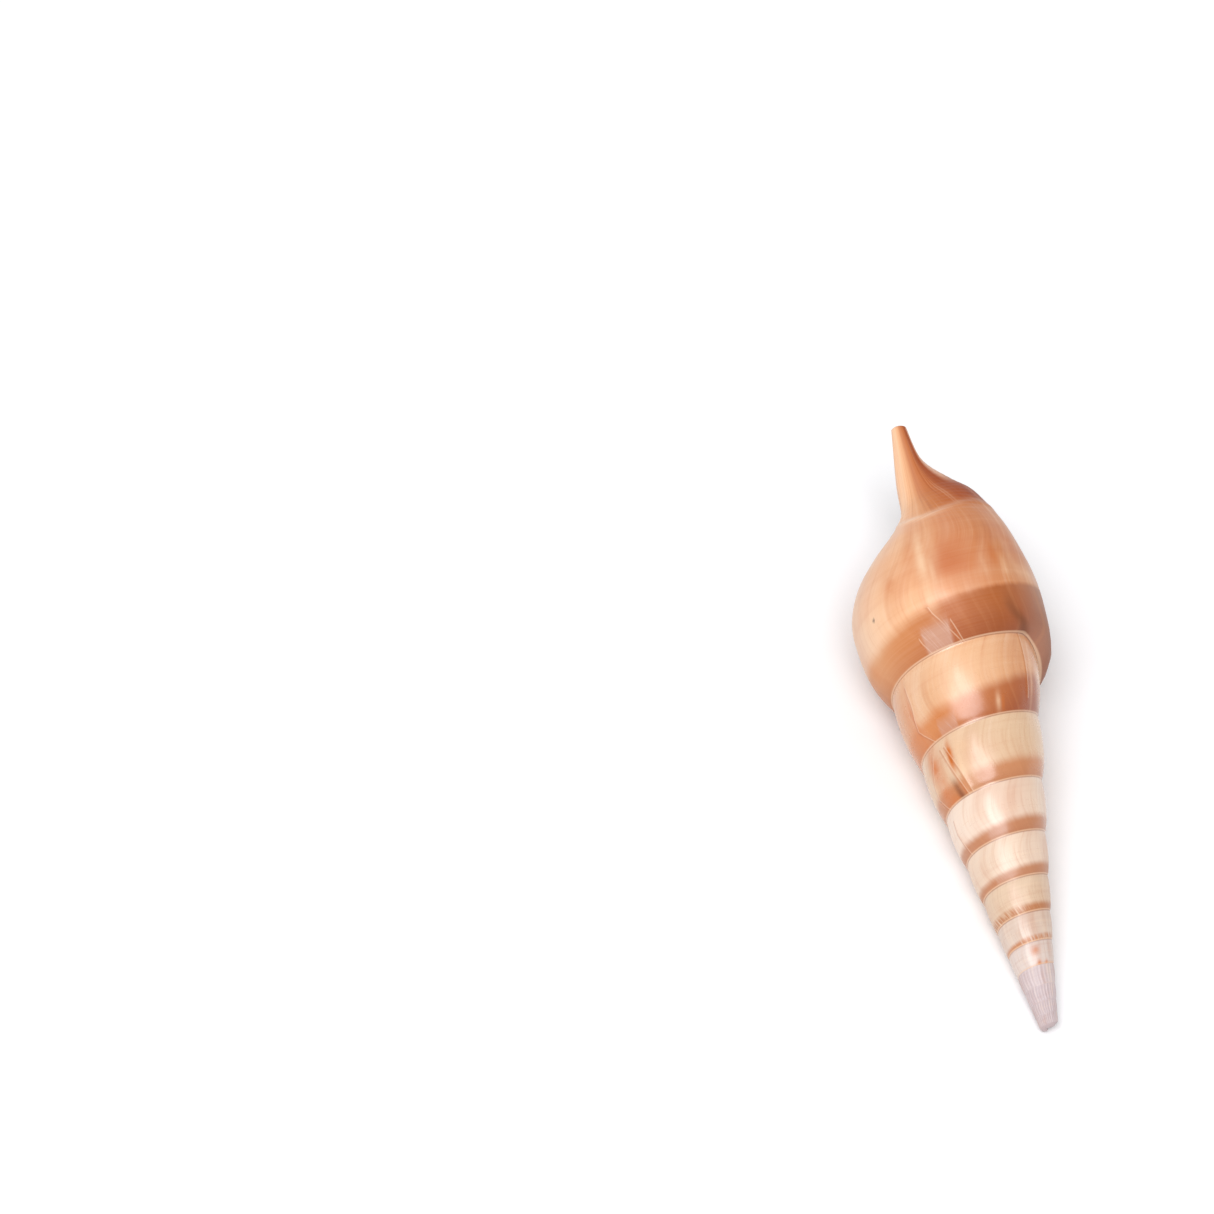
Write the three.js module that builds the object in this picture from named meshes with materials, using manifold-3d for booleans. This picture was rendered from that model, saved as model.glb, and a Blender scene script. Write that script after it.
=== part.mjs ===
// A tibia shell: a slender, right-handed sea shell, lying on its underside.
// Millimetres, +Z up. The tip of the spire points to -Y and the siphonal canal to +Y.
// The shell is one closed surface: the outside of the whorls, the rim of the outer lip,
// the inside of the last whorl, and two small ends at the tip of the spire and of the canal.
import * as THREE from "three";
import { ParametricGeometry } from "three/addons/geometries/ParametricGeometry.js";
import { mergeGeometries, mergeVertices } from "three/addons/utils/BufferGeometryUtils.js";
import Module from "manifold-3d";

const wasm = await Module();
wasm.setup();

// Spiral of the suture, the line where a whorl meets the one before it. Distances run along the axis
// from the point where the cone of the spire would end. Turns are counted from the middle of the back.
const WHORL_GROWTH = 1.232;
const SUTURE_DISTANCE = 81.5;
const SUTURE_LEAN = 0.009;
const CONE_SLOPE = 0.1814;
const BLUNT_RADIUS = 0.75;
const SPIRE_TIP = 7.6;
const CANAL_TIP = 137.6;

// A whorl swells above the cone, less near the tip of the spire.
const WHORL_BULGE = 0.065;
const TIP_BULGE_SHARE = 0.35;
const FULL_BULGE_DISTANCE = 60;

// The outer lip ends the last turn. Just before it, the suture runs back over the spire.
const LIP_TURN = 0.32;
const SPUR_FROM_TURN = 0.1;
const SPUR_SHARE = 0.12;

// Outlines of the last turn, from the suture to the canal: [distance, radius] past the shoulder,
// and for the shoulder itself [share of the way to the first point, times the cone's radius].
const TURN_BEFORE = [
  [82, 15.4], [88, 15.1], [93.5, 13], [98.5, 9.7],
  [104, 6.4], [114, 3.3], [CANAL_TIP, 0.5],
];
const LEFT = {
  turn: -0.264,
  shoulder: [[1 / 3, 1.13], [2 / 3, 1.13]],
  outline: [
    [95, 18.4], [100.5, 16.3], [105, 12.9], [109, 8.9],
    [112.5, 5.8], [117, 3.7], [125, 3.1], [CANAL_TIP, 1.4],
  ],
};
const BACK = {
  turn: 0,
  shoulder: [[1 / 3, 1.1], [2 / 3, 1.13]],
  outline: [
    [96.6, 18.6], [102.7, 16.9], [107.6, 14.3], [112, 11],
    [115.7, 8], [120, 5], [127, 3.1], [CANAL_TIP, 1.5],
  ],
};
const RIGHT = {
  turn: 0.264,
  shoulder: [[1 / 3, 1.21], [2 / 3, 1.155]],
  outline: [
    [99, 19], [106, 17.6], [111.5, 16.1], [116.5, 14],
    [120.5, 11.4], [124.5, 7.6], [130, 3.1], [CANAL_TIP, 1.7],
  ],
};
const LIP = {
  turn: LIP_TURN,
  shoulder: [[1 / 3, 1.23], [2 / 3, 1.165]],
  outline: [
    [99, 19.6], [106, 18.4], [111.5, 16.9], [116.5, 14.8],
    [120.5, 12], [124.5, 7.9], [130, 3.2], [CANAL_TIP, 1.7],
  ],
};

// Lip and wall
const WALL = 1.5;
const RIM_REACH = 2;
const RIM_FLARE = 0.9;
const RIM_FULL = { from: 2.5, to: 7.5 };
const KNOB_REACH = 2.8;
const KNOBS = { first: 3.75, pitch: 0.75, count: 5, width: 0.2 };

// Callus: a smooth layer over the underside beside the aperture, with an edge that the shell rests on
const CALLUS_THICKNESS = 0.55;
const CALLUS_TURNS = { rises: 0.05, full: 0.176, ends: 0.2 };
const CALLUS_KNOTS = { from: 0.6, full: 1.4, thins: 6.5, ends: 8 };

// The hollow of the last whorl runs back from the lip, and its canal end draws in first.
const HOLLOW_TURNS = 0.62;
const HOLLOW_CLOSES = { from: 0.72, to: 1.12 };
const HOLLOW_END_TURN = 0.02;
const HOLLOW_CROWDING = 1.5;
const CANAL_DRAWS_IN_BY = 0.25;
const HOLLOW_RANGE = [0.7, 6.2];

// The two small ends: a worn dimple in the tip of the spire and a rounded end of the canal
const TIP_DIMPLE = 1.2;
const CANAL_END = { length: 0.5, radius: 0.25, turn: -0.03 };

// How it lies: the canal end is raised, and the line of the back that faces up.
const AXIS_RISE = THREE.MathUtils.degToRad(11.3);
const UP_MERIDIAN = THREE.MathUtils.degToRad(11.2);

// Facets
const STEPS_PER_TURN = 40;
const SHOULDER_ROWS = 4;
const BODY_ROWS = 28;
const RIM_ROWS = 4;
const HOLLOW_STEPS = 18;

const SHOULDER_KNOTS = 3;
const LAST_KNOT = 10;
const { clamp, lerp, smoothstep } = THREE.MathUtils;

// The suture's distance after a number of turns, without and with the spur at the lip
function plainSuture(turn) {
  return SUTURE_DISTANCE * WHORL_GROWTH ** turn * (1 - SUTURE_LEAN * Math.sin(2 * Math.PI * turn));
}

function suture(turn) {
  return plainSuture(turn) * (1 - SPUR_SHARE * smoothstep(turn, SPUR_FROM_TURN, LIP_TURN));
}

function coneRadius(distance) {
  return Math.hypot(CONE_SLOPE * distance, BLUNT_RADIUS);
}

// Radius of a spire whorl that begins at the suture of this turn
function whorlRadius(distance, turn) {
  const from = plainSuture(turn);
  const share = clamp(Math.log(distance / from) / Math.log(plainSuture(turn + 1) / from), 0, 1);
  const size = lerp(TIP_BULGE_SHARE, 1, clamp(distance / FULL_BULGE_DISTANCE, 0, 1));
  return coneRadius(distance) * (1 + 4 * WHORL_BULGE * size * share * (1 - share));
}

// Where the last turn begins, its shoulder is still that of the spire.
function firstStation() {
  const turn = LIP_TURN - 1;
  const points = [];
  for (let knot = 0; knot <= SHOULDER_KNOTS; knot++) {
    const distance = lerp(suture(turn), suture(LIP_TURN), knot / SHOULDER_KNOTS);
    points.push([distance, whorlRadius(distance, turn)]);
  }
  return { turn, points: [...points, ...TURN_BEFORE] };
}

function station({ turn, shoulder, outline }) {
  const start = suture(turn);
  const points = [[start, whorlRadius(start, turn - 1)]];
  for (const [share, swell] of shoulder) {
    const distance = lerp(start, outline[0][0], share);
    points.push([distance, coneRadius(distance) * swell]);
  }
  return { turn, points: [...points, ...outline] };
}

const stations = [firstStation(), station(LEFT), station(BACK), station(RIGHT), station(LIP)];

// Shares of the stations at a turn, for a smooth curve through them
function stationShares(turn) {
  const shares = stations.map(() => 0);
  const last = stations.length - 1;
  let i = 0;
  while (i < last - 1 && turn >= stations[i + 1].turn) i++;
  const step = stations[i + 1].turn - stations[i].turn;
  const f = clamp((turn - stations[i].turn) / step, 0, 1);
  const addSlope = (at, amount) => {
    const low = Math.max(at - 1, 0);
    const high = Math.min(at + 1, last);
    const slope = (amount * step) / (stations[high].turn - stations[low].turn);
    shares[high] += slope;
    shares[low] -= slope;
  };
  shares[i] += 2 * f ** 3 - 3 * f ** 2 + 1;
  shares[i + 1] += 3 * f ** 2 - 2 * f ** 3;
  addSlope(i, f ** 3 - 2 * f ** 2 + f);
  addSlope(i + 1, f ** 3 - f ** 2);
  return shares;
}

// The outline of the last turn at a turn, as a curve of distance and radius
function outlineAt(turn) {
  const shares = stationShares(turn);
  const blend = (knot, part) => shares.reduce((sum, share, i) => {
    return sum + share * stations[i].points[knot][part];
  }, 0);
  const points = stations[0].points.map((_, knot) => new THREE.Vector2(blend(knot, 0), blend(knot, 1)));
  const start = suture(turn);
  points[0].set(start, whorlRadius(start, turn - 1));
  return new THREE.SplineCurve(points);
}

const outlines = new Map();
function lastTurnPoint(turn, knot) {
  if (!outlines.has(turn)) outlines.set(turn, outlineAt(turn));
  return outlines.get(turn).getPoint(knot / LAST_KNOT);
}

// From distance, radius and turn to a place beside the axis
function place(distance, radius, turn, target) {
  const angle = 2 * Math.PI * turn;
  return target.set(radius * Math.sin(angle), distance, radius * Math.cos(angle));
}

// Radius of the wall that the hollow turns round: the whorl before, one turn back
const wallBefore = outlineAt(LIP_TURN - 1).getPoints(400);
function innerRadius(distance, back) {
  const size = WHORL_GROWTH ** -back;
  const at = distance / size;
  let i = 1;
  while (i < wallBefore.length - 1 && wallBefore[i].x < at) i++;
  const low = wallBefore[i - 1];
  const high = wallBefore[i];
  return size * lerp(low.y, high.y, clamp((at - low.x) / (high.x - low.x), 0, 1));
}

// Rows of the last turn, closer together on the body than on the shoulder
function knotOfRow(row) {
  if (row <= SHOULDER_ROWS) return (SHOULDER_KNOTS * row) / SHOULDER_ROWS;
  return lerp(SHOULDER_KNOTS, LAST_KNOT, (row - SHOULDER_ROWS) / BODY_ROWS);
}

// A grid of points made a sheet of triangles, facing the other way if asked
function sheet(pointAt, columns, rows, turnedOver) {
  const at = (u, v, target) => pointAt(Math.round(u * columns), Math.round(v * rows), target);
  const geometry = new ParametricGeometry(at, columns, rows);
  geometry.deleteAttribute("normal");
  geometry.deleteAttribute("uv");
  if (turnedOver) {
    const index = geometry.index;
    for (let i = 0; i < index.count; i += 3) {
      const first = index.getX(i);
      index.setX(i, index.getX(i + 1));
      index.setX(i + 1, first);
    }
  }
  return geometry;
}

// Outside of the spire
const spireTurns = LIP_TURN - 1 - Math.log(SPIRE_TIP / SUTURE_DISTANCE) / Math.log(WHORL_GROWTH);
const spireSteps = Math.round(spireTurns * STEPS_PER_TURN);

function spirePoint(step, row, target) {
  const turn = LIP_TURN - 1 - (spireSteps - step) / STEPS_PER_TURN;
  const distance = lerp(suture(turn), suture(turn + 1), row / SHOULDER_ROWS);
  const restsOnWhorlBefore = row === 0 && step >= STEPS_PER_TURN;
  const radius = whorlRadius(distance, restsOnWhorlBefore ? turn - 1 : turn);
  return place(distance, radius, turn, target);
}

function callus(turnsIn, knot) {
  const { rises, full, ends } = CALLUS_TURNS;
  const around = smoothstep(turnsIn, 0, rises) * (1 - smoothstep(turnsIn, full, ends));
  const { from, full: fullFrom, thins, ends: gone } = CALLUS_KNOTS;
  const along = smoothstep(knot, from, fullFrom) * (1 - smoothstep(knot, thins, gone));
  return CALLUS_THICKNESS * around * along;
}

// Outside of the last turn
function bodyPoint(step, row, target) {
  if (step === 0 && row <= SHOULDER_ROWS) return spirePoint(spireSteps, row, target);
  const turnsIn = step / STEPS_PER_TURN;
  const turn = LIP_TURN - 1 + turnsIn;
  const knot = knotOfRow(row);
  const { x: distance, y: radius } = lastTurnPoint(turn, knot);
  return place(distance, radius + callus(turnsIn, knot), turn, target);
}

// Wall thickness, never more than half the room beside the whorl before
function wallAt(distance, radius, back) {
  return Math.min(WALL, (radius - innerRadius(distance, back)) / 2);
}

// Rim of the outer lip, round in section, with blunt knobs towards the canal
function knobHeight(knot) {
  let height = 0;
  for (let i = 0; i < KNOBS.count; i++) {
    const off = (knot - KNOBS.first - i * KNOBS.pitch) / KNOBS.width;
    height = Math.max(height, Math.exp(-off * off));
  }
  return height;
}

function rimPoint(step, row, target) {
  const knot = knotOfRow(row);
  const { x: distance, y: radius } = lastTurnPoint(LIP_TURN, knot);
  const wall = row === 0 ? 0 : wallAt(distance, radius, 0);
  const along = smoothstep(knot, 0, RIM_FULL.from) * (1 - smoothstep(knot, RIM_FULL.to, LAST_KNOT));
  const around = (Math.PI * step) / RIM_ROWS;
  const rise = step === 0 || step === RIM_ROWS ? 0 : Math.sin(around);
  const reach = along * (RIM_REACH + KNOB_REACH * knobHeight(knot));
  const rimRadius = radius - (wall / 2) * (1 - Math.cos(around)) + RIM_FLARE * along * rise;
  return place(distance, rimRadius, LIP_TURN + (reach * rise) / (2 * Math.PI * radius), target);
}

// Hollow of the last whorl: loops of an outer and an inner half, drawn back from the lip
const OUTER_POINTS = SHOULDER_ROWS + BODY_ROWS + 1;
const LOOP_POINTS = OUTER_POINTS + BODY_ROWS + 1;

function hollowHalves(step) {
  const back = HOLLOW_TURNS * (step / HOLLOW_STEPS) ** HOLLOW_CROWDING;
  const turn = LIP_TURN - back;
  const drawn = smoothstep(back, 0, CANAL_DRAWS_IN_BY);
  const outer = [];
  for (let row = 0; row < OUTER_POINTS; row++) {
    const knot = knotOfRow(row);
    const inside = lerp(knot, lerp(...HOLLOW_RANGE, knot / LAST_KNOT), drawn);
    const { x: distance, y: radius } = lastTurnPoint(turn, inside);
    const wall = step === 0 && row === 0 ? 0 : wallAt(distance, radius, back);
    outer.push([distance, radius - wall]);
  }
  const [first, last] = [outer[0][0], outer[OUTER_POINTS - 1][0]];
  const inner = [];
  for (let row = 0; row <= BODY_ROWS; row++) {
    const edge = lastTurnPoint(LIP_TURN - 1, knotOfRow(SHOULDER_ROWS + row));
    const share = (edge.x - suture(LIP_TURN)) / (CANAL_TIP - suture(LIP_TURN));
    const distance = lerp(first, last, share);
    inner.push([distance, innerRadius(distance, back)]);
  }
  return { turn, outer, inner };
}

function hollowLoop(step) {
  const { turn, outer, inner } = hollowHalves(step);
  const loop = [...outer, ...inner.reverse()];
  const open = 1 - smoothstep(step / HOLLOW_STEPS, HOLLOW_CLOSES.from, HOLLOW_CLOSES.to);
  const middle = [0, 1].map((part) => loop.reduce((sum, point) => sum + point[part], 0) / loop.length);
  const narrowed = loop.map((point) => point.map((value, part) => lerp(middle[part], value, open)));
  return { turn, loop: narrowed, middle };
}

const hollowLoops = Array.from({ length: HOLLOW_STEPS + 1 }, (_, step) => hollowLoop(step));

function hollowPoint(index, step, target) {
  const at = index % LOOP_POINTS;
  if (step === 0 && at < OUTER_POINTS) return rimPoint(RIM_ROWS, at, target);
  if (step === 0) return bodyPoint(0, SHOULDER_ROWS + BODY_ROWS - (at - OUTER_POINTS), target);
  if (step > HOLLOW_STEPS) {
    const { turn, middle } = hollowLoops[HOLLOW_STEPS];
    return place(middle[0], middle[1], turn - HOLLOW_END_TURN, target);
  }
  const { turn, loop } = hollowLoops[step];
  return place(loop[at][0], loop[at][1], turn, target);
}

// Small ends of the spire and of the canal
function spireEndPoint(index, step, target) {
  if (step === 1) return target.set(0, SPIRE_TIP + TIP_DIMPLE, 0);
  if (index <= STEPS_PER_TURN) return spirePoint(index, 0, target);
  return spirePoint(0, SHOULDER_ROWS - (index - STEPS_PER_TURN), target);
}

function canalEndPoint(index, step, target) {
  const row = SHOULDER_ROWS + BODY_ROWS;
  if (step === 1) return place(CANAL_TIP + CANAL_END.length, CANAL_END.radius, CANAL_END.turn, target);
  if (index <= STEPS_PER_TURN) return bodyPoint(index, row, target);
  if (index <= STEPS_PER_TURN + RIM_ROWS) return rimPoint(index - STEPS_PER_TURN, row, target);
  return bodyPoint(0, row, target);
}

function shellGeometry() {
  const rows = SHOULDER_ROWS + BODY_ROWS;
  const skin = mergeGeometries([
    sheet(spirePoint, spireSteps, SHOULDER_ROWS, false),
    sheet(bodyPoint, STEPS_PER_TURN, rows, false),
    sheet(rimPoint, RIM_ROWS, rows, false),
    sheet(hollowPoint, LOOP_POINTS, HOLLOW_STEPS + 1, true),
    sheet(spireEndPoint, STEPS_PER_TURN + SHOULDER_ROWS, 1, true),
    sheet(canalEndPoint, STEPS_PER_TURN + RIM_ROWS + 1, 1, false),
  ]);
  const merged = mergeVertices(skin, 1e-3);
  const corners = [];
  const index = merged.index;
  for (let i = 0; i < index.count; i += 3) {
    const [a, b, c] = [index.getX(i), index.getX(i + 1), index.getX(i + 2)];
    if (a !== b && b !== c && c !== a) corners.push(a, b, c);
  }
  merged.setIndex(corners);
  return merged;
}

// The skin made a solid, which also proves that it is closed
function solid(geometry) {
  const body = new wasm.Manifold(new wasm.Mesh({
    numProp: 3,
    vertProperties: new Float32Array(geometry.attributes.position.array),
    triVerts: new Uint32Array(geometry.index.array),
  }));
  const { vertProperties, triVerts } = body.getMesh();
  const result = new THREE.BufferGeometry();
  result.setAttribute("position", new THREE.BufferAttribute(vertProperties, 3));
  result.setIndex(new THREE.BufferAttribute(triVerts, 1));
  return result;
}

// Lay the shell down, with its lowest point on the ground and its box centred
function layDown(geometry) {
  const turnUp = new THREE.Matrix4().makeRotationY(-UP_MERIDIAN);
  const raise = new THREE.Matrix4().makeRotationX(AXIS_RISE);
  geometry.applyMatrix4(turnUp);
  geometry.applyMatrix4(raise);
  geometry.computeBoundingBox();
  const { min, max } = geometry.boundingBox;
  geometry.translate(-(min.x + max.x) / 2, -(min.y + max.y) / 2, -min.z);
  geometry.computeVertexNormals();
  return geometry;
}

const nacre = new THREE.MeshStandardMaterial({ color: 0xdca574, roughness: 0.22, metalness: 0 });

const shell = new THREE.Mesh(layDown(solid(shellGeometry())), nacre);
shell.name = "shell";

const group = new THREE.Group();
group.add(shell);

export default group;
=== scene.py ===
# %% [markdown]
# # A tibia shell
# A tibia is a slender sea snail shell: a tall pointed spire, a swollen last whorl, an outer lip with
# blunt knobs, and a long canal at the front end. All of it is one tube that was laid down along a
# spiral, so this lesson grows one closed skin along that spiral, and paints it with patterns that
# follow the growth. The CAD model gives the frame: where the shell lies and how large it is.

import bmesh
import bpy
import numpy as np
from mathutils import Matrix


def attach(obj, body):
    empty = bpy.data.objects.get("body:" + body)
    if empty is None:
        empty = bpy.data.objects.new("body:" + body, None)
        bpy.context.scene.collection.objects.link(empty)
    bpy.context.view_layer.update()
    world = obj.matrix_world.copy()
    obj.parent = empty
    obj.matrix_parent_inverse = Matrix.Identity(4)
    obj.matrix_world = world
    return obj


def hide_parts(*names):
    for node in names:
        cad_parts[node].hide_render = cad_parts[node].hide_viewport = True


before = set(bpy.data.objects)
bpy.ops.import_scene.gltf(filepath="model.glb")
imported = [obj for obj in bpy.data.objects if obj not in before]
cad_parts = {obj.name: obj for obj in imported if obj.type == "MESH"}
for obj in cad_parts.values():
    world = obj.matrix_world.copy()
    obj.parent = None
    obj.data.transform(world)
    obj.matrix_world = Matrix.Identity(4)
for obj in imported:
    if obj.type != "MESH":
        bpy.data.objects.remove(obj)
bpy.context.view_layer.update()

# %% [markdown]
# ## The spiral of the suture
# The suture is the line where each whorl meets the one before it. On a real shell every turn is larger
# than the last by the same factor, so its distance along the axis, counted from the point where the
# cone of the spire would end, grows as a power of the number of turns. A modelled helix curve with a
# Screw modifier could only grow evenly, so the formula is written out. Lengths are millimetres until
# the mesh is made, and turns are counted from the middle of the back.

# %% Values and formulas of the spiral
TAU = 2 * np.pi
WHORL_GROWTH = 1.232
SUTURE_DISTANCE = 81.5
SUTURE_LEAN = 0.009
CONE_SLOPE = 0.1814
BLUNT_RADIUS = 0.75
SPIRE_TIP = 7.6
CANAL_TIP = 137.6
WHORL_BULGE = 0.065
TIP_BULGE_SHARE = 0.35
FULL_BULGE_DISTANCE = 60
LIP_TURN = 0.32
SPUR_FROM_TURN = 0.16
SPUR_SHARE = 0.12


def smooth(x, low, high):
    """0 below low, 1 above high, and between them 3t^2 - 2t^3, where t is the share of the way."""
    t = np.clip((x - low) / (high - low), 0, 1)
    return t * t * (3 - 2 * t)


def mix(a, b, share):
    """a at share 0, b at share 1, and a straight line between them."""
    return a + (b - a) * share


def bump(x, middle, width):
    """A hill of height 1 at the middle: e to the power of minus the squared distance in widths."""
    return np.exp(-(((x - middle) / width) ** 2))


def plain_suture(turn):
    """The suture's distance: a power of the turns, leaning a little to one side as a sine."""
    return SUTURE_DISTANCE * WHORL_GROWTH**turn * (1 - SUTURE_LEAN * np.sin(TAU * turn))


def suture(turn):
    """The plain suture, drawn back over the spire where the outer lip ends in its spur."""
    return plain_suture(turn) * (1 - SPUR_SHARE * smooth(turn, SPUR_FROM_TURN, LIP_TURN))


def cone_radius(distance):
    """A cone with a rounded tip: the root of the squared slope times distance plus the squared radius."""
    return np.hypot(CONE_SLOPE * distance, BLUNT_RADIUS)


def whorl_radius(distance, turn):
    """The cone, swollen between a whorl's two sutures by a parabola of its logarithmic share."""
    start = plain_suture(turn)
    share = np.clip(np.log(distance / start) / np.log(plain_suture(turn + 1) / start), 0, 1)
    size = mix(TIP_BULGE_SHARE, 1, np.clip(distance / FULL_BULGE_DISTANCE, 0, 1))
    return cone_radius(distance) * (1 + 4 * WHORL_BULGE * size * share * (1 - share))


first_turn = np.log(SPIRE_TIP / SUTURE_DISTANCE) / np.log(WHORL_GROWTH)
print("whorls in the spire:", round(LIP_TURN - 1 - first_turn, 2))

# %% [markdown]
# ## Outlines of the last whorl
# The last whorl no longer fits the cone: it swells, draws in to a hollow neck and runs out into the
# canal. It could be sculpted, but then it would no longer follow the growth. Here five outlines stand
# round the axis, each a row of distances and radii, and a smooth curve runs through them both ways:
# along each outline, and round the shell from one outline to the next.

# %% The five outlines
SHOULDER_KNOTS = 3
LAST_KNOT = 10
outline_turns = np.array([LIP_TURN - 1, -0.264, 0, 0.264, LIP_TURN])
turn_before = [
    [82, 15.4], [88, 15.1], [93.5, 13], [98.5, 9.7], [104, 6.4], [114, 3.3], [CANAL_TIP, 0.5],
]
shoulders = [[1.13, 1.13], [1.1, 1.13], [1.21, 1.155], [1.23, 1.165]]
necks = [
    [
        [95, 18.4], [100.5, 16.3], [105, 12.9], [109, 8.9],
        [112.5, 5.8], [117, 3.7], [125, 3.1], [CANAL_TIP, 1.4],
    ],
    [
        [96.6, 18.6], [102.7, 16.9], [107.6, 14.3], [112, 11],
        [115.7, 8], [120, 5], [127, 3.1], [CANAL_TIP, 1.5],
    ],
    [
        [99, 19], [106, 17.6], [111.5, 16.1], [116.5, 14],
        [120.5, 11.4], [124.5, 7.6], [130, 3.1], [CANAL_TIP, 1.7],
    ],
    [
        [99, 19.6], [106, 18.4], [111.5, 16.9], [116.5, 14.8],
        [120.5, 12], [124.5, 7.9], [130, 3.2], [CANAL_TIP, 1.7],
    ],
]


def first_outline():
    """Where the last whorl begins, its shoulder is still that of the spire."""
    distance = mix(suture(outline_turns[0]), suture(LIP_TURN), np.arange(4) / SHOULDER_KNOTS)
    shoulder = np.stack([distance, whorl_radius(distance, outline_turns[0])], -1)
    return np.concatenate([shoulder, turn_before])


def outline(turn, swells, neck):
    """One point on the suture, two on the shoulder at thirds of the way, and the points of the neck."""
    start = suture(turn)
    thirds = mix(start, neck[0][0], np.arange(3) / SHOULDER_KNOTS)
    radii = cone_radius(thirds) * np.array([1, *swells])
    radii[0] = whorl_radius(start, turn - 1)
    return np.concatenate([np.stack([thirds, radii], -1), neck])


outlines = np.stack(
    [first_outline(), *(outline(*parts) for parts in zip(outline_turns[1:], shoulders, necks))]
)
print("outlines:", outlines.shape)

# %% Smooth curves through the outlines


def outline_at(turn):
    """Outlines at many turns: Hermite curves whose slope at each outline is that of its two neighbours."""
    turn = np.asarray(turn, float)
    last = len(outline_turns) - 1
    i = np.clip(np.searchsorted(outline_turns, turn, side="right") - 1, 0, last - 1)
    step = outline_turns[i + 1] - outline_turns[i]
    f = np.clip((turn - outline_turns[i]) / step, 0, 1)

    def slope(at):
        low, high = np.maximum(at - 1, 0), np.minimum(at + 1, last)
        rise = outlines[high] - outlines[low]
        return rise * (step / (outline_turns[high] - outline_turns[low]))[:, None, None]

    f = f[:, None, None]
    points = (
        (2 * f**3 - 3 * f**2 + 1) * outlines[i]
        + (3 * f**2 - 2 * f**3) * outlines[i + 1]
        + (f**3 - 2 * f**2 + f) * slope(i)
        + (f**3 - f**2) * slope(i + 1)
    )
    points[:, 0, 0] = suture(turn)
    points[:, 0, 1] = whorl_radius(points[:, 0, 0], turn - 1)
    return points


def along(points, knot):
    """Catmull-Rom curve along each outline: a cubic through the knots, with the neighbours' half slope."""
    knot = np.broadcast_to(knot, (len(points), np.shape(knot)[-1]))
    i = np.clip(np.floor(knot).astype(int), 0, LAST_KNOT - 1)
    f = (knot - i)[..., None]
    rows = np.arange(len(points))[:, None]
    before, here, there = points[rows, np.maximum(i - 1, 0)], points[rows, i], points[rows, i + 1]
    after = points[rows, np.minimum(i + 2, LAST_KNOT)]
    leave, arrive = (there - before) / 2, (after - here) / 2
    curve = (2 * here - 2 * there + leave + arrive) * f**3
    curve += (3 * there - 3 * here - 2 * leave - arrive) * f**2
    curve += leave * f + here
    return curve[..., 0], curve[..., 1]


widest = along(outline_at([0.0]), np.linspace(0, LAST_KNOT, 101))[1].max()
print("widest radius over the back in mm:", round(float(widest), 2))

# %% [markdown]
# ## Relief
# A grown shell isn't smooth. A whorl stands a hair proud of the one it is glued to, the first whorls
# carry fine ribs, each pause in growth left a welt, and the neck has spiral threads below a low keel.
# These are raised in the mesh, because the outline and the gloss show them. Anything finer than half a
# millimetre is left to the bump of the finish.

# %% Heights of the relief
FULL_SIZE_DISTANCE = 90
SUTURE_STEP = 0.24
STEP_REACH = 0.16
SWELL_HEIGHT = 0.035
RIB_HEIGHT = 0.045
RIBS_PER_TURN = 28
WELT_HEIGHT = 0.11
SCAR_HEIGHT = 0.1
KEEL_HEIGHT = 0.16
THREAD_HEIGHT = 0.03
THREAD_PITCH = 1.15
keel_turns = [-0.68, -0.3, -0.144, -0.08, -0.034, 0, 0.03, 0.075, 0.12, 0.16, 0.2, 0.32]
keel_knots = [7.0, 7.0, 6.9, 6.3, 6.0, 5.8, 5.73, 5.8, 5.87, 5.93, 5.7, 5.6]
welts = [  # growth age in turns, width in turns, height share, from share, to share
    (0.116, 0.010, 0.9, 0.0, 1.0), (-0.006, 0.006, 0.5, 0.0, 0.45), (-1.148, 0.009, 0.9, 0.0, 1.0),
    (-0.922, 0.006, 0.4, 0.0, 0.3), (-2.094, 0.009, 1.0, 0.0, 1.0), (-2.182, 0.008, 0.8, 0.0, 1.0),
    (-3.165, 0.008, 0.5, 0.0, 1.0), (-1.55, 0.010, 0.9, 0.0, 1.0),
    (-2.6, 0.010, 0.8, 0.0, 1.0), (-3.5, 0.010, 0.7, 0.0, 1.0), (-4.4, 0.012, 0.6, 0.0, 1.0),
]


def share_of_whorl(distance, turn):
    """0 on a whorl's hind suture, 1 on its front one, and more than 1 on the neck past it."""
    share = (distance - plain_suture(turn)) / (plain_suture(turn + 1) - plain_suture(turn))
    return np.maximum(share, 0)


def growth_age(turn, share):
    """When a point was laid down, in turns: a growth line is a shallow bow, deeper on the later whorls."""
    bow = mix(0.012, 0.05, smooth(turn, -7, -4))
    return turn - bow * np.tanh(0.7 * ((share - 0.55) / 0.5) ** 2)


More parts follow.
